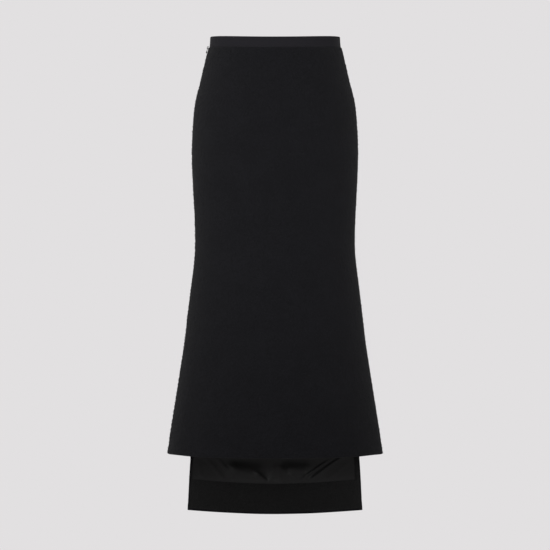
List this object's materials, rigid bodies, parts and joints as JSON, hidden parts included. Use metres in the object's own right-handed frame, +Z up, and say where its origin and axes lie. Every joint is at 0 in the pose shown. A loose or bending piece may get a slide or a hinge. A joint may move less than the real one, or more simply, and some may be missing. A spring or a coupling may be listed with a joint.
{
  "type": "long bouclé skirt with a longer back, as worn",
  "caption": "Long narrow skirt with a ribbon waistband, flared below the knee, its front hem above a longer lined tail at the back, side zip.",
  "frame": {"origin": "centre of the waist opening, at half the height of the waistband at its sides, where the wearer's waist holds the skirt", "axes": "+Z up along the wearer, the wearer faces -Y, +X is the wearer's left side; the zip is on the -X side"},
  "size_m": [0.4294, 0.3188, 0.97],
  "materials": {
    "boucle": "black wool bouclé, matt and nubby",
    "grosgrain": "black ribbed ribbon, slight sheen",
    "satin": "black lining satin, soft gloss",
    "zip_tape": "black woven tape",
    "zip_metal": "black lacquered zip metal"
  },
  "bodies": {
    "skirt": {"front_panel": "boucle", "back_panel": "boucle", "tail_facing": "boucle", "waistband": "grosgrain", "lining_back": "satin", "zip_tape": "zip_tape", "zip_slider": "zip_metal"},
    "pull": {"zip_pull": "zip_metal"}
  },
  "joints": [
    {"name": "pull_swing", "type": "hinge", "parent": "skirt", "child": "pull", "pos_m": [-0.13467, 0.00072, -0.01028], "axis": [0, 0.9912, 0.1322], "range_deg": [0, 175]}
  ]
}
